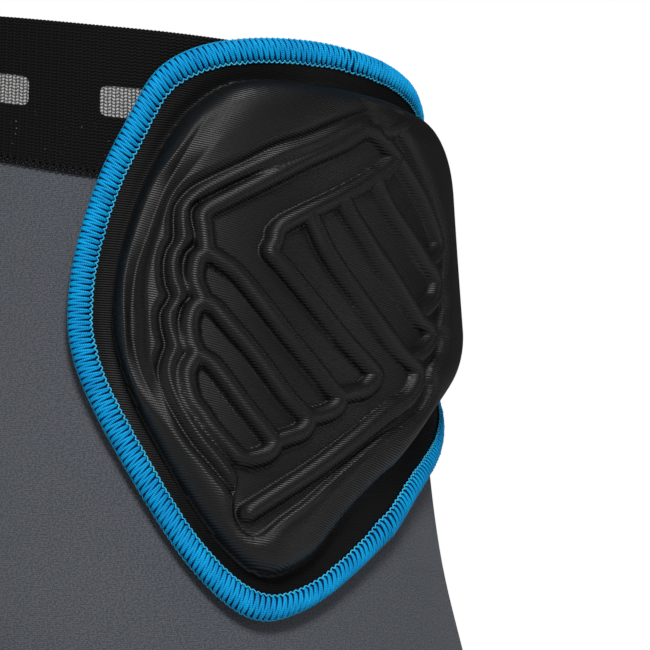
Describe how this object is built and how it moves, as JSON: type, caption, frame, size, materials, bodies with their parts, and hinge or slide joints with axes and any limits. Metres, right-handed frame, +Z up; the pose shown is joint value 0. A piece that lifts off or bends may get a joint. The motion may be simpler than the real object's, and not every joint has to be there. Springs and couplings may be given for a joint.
{
  "type": "padded impact shorts",
  "caption": "Tight stretch shorts with moulded foam pads sewn over both hips and the tailbone, for skiing and snowboarding falls.",
  "frame": {"origin": "middle of the waist opening", "axes": "+X to the wearer's left, -Y to the wearer's front, +Z up"},
  "size_m": [0.3526, 0.2466, 0.4455],
  "materials": {
    "waistband_elastic": "ribbed knitted elastic",
    "label_satin": "blank satin tape",
    "stretch_fabric": "fine warp-knit polyamide and elastane with a faint sheen",
    "hem_elastic": "ribbed knitted elastic",
    "silicone": "satin",
    "dark_thread": "matt sewing thread",
    "backing_cloth": "matt tricot",
    "pad_foam": "matt closed-cell foam",
    "pad_cover_cloth": "heat-moulded knit with a soft sheen",
    "blue_thread": "bulky overlock thread with a soft sheen"
  },
  "bodies": {
    "hips": {"waistband": "waistband_elastic", "care_label": "label_satin", "left_panel": "stretch_fabric", "right_panel": "stretch_fabric", "front_pouch": "stretch_fabric", "waist_seam": "dark_thread", "centre_back_seam": "dark_thread", "left_pouch_seam": "dark_thread", "right_pouch_seam": "dark_thread", "left_hip_pad_backing": "backing_cloth", "left_hip_pad_foam": "pad_foam", "left_hip_pad_cover": "pad_cover_cloth", "left_hip_pad_edging": "blue_thread", "right_hip_pad_backing": "backing_cloth", "right_hip_pad_foam": "pad_foam", "right_hip_pad_cover": "pad_cover_cloth", "right_hip_pad_edging": "blue_thread", "tailbone_pad_backing": "backing_cloth", "tailbone_pad_foam": "pad_foam", "tailbone_pad_cover": "pad_cover_cloth", "tailbone_pad_edging": "blue_thread"},
    "left_leg": {"left_leg_panel": "stretch_fabric", "left_hem": "hem_elastic", "left_gripper": "silicone", "left_inseam": "dark_thread", "left_hem_seam": "dark_thread"},
    "right_leg": {"right_leg_panel": "stretch_fabric", "right_hem": "hem_elastic", "right_gripper": "silicone", "right_inseam": "dark_thread", "right_hem_seam": "dark_thread"}
  },
  "joints": [
    {"name": "left_leg_flex", "type": "hinge", "parent": "hips", "child": "left_leg", "pos_m": [0.086, 0, -0.165], "axis": [-1, 0, 0], "range_deg": [-15, 45]},
    {"name": "right_leg_flex", "type": "hinge", "parent": "hips", "child": "right_leg", "pos_m": [-0.086, 0, -0.165], "axis": [-1, 0, 0], "range_deg": [-15, 45]}
  ]
}
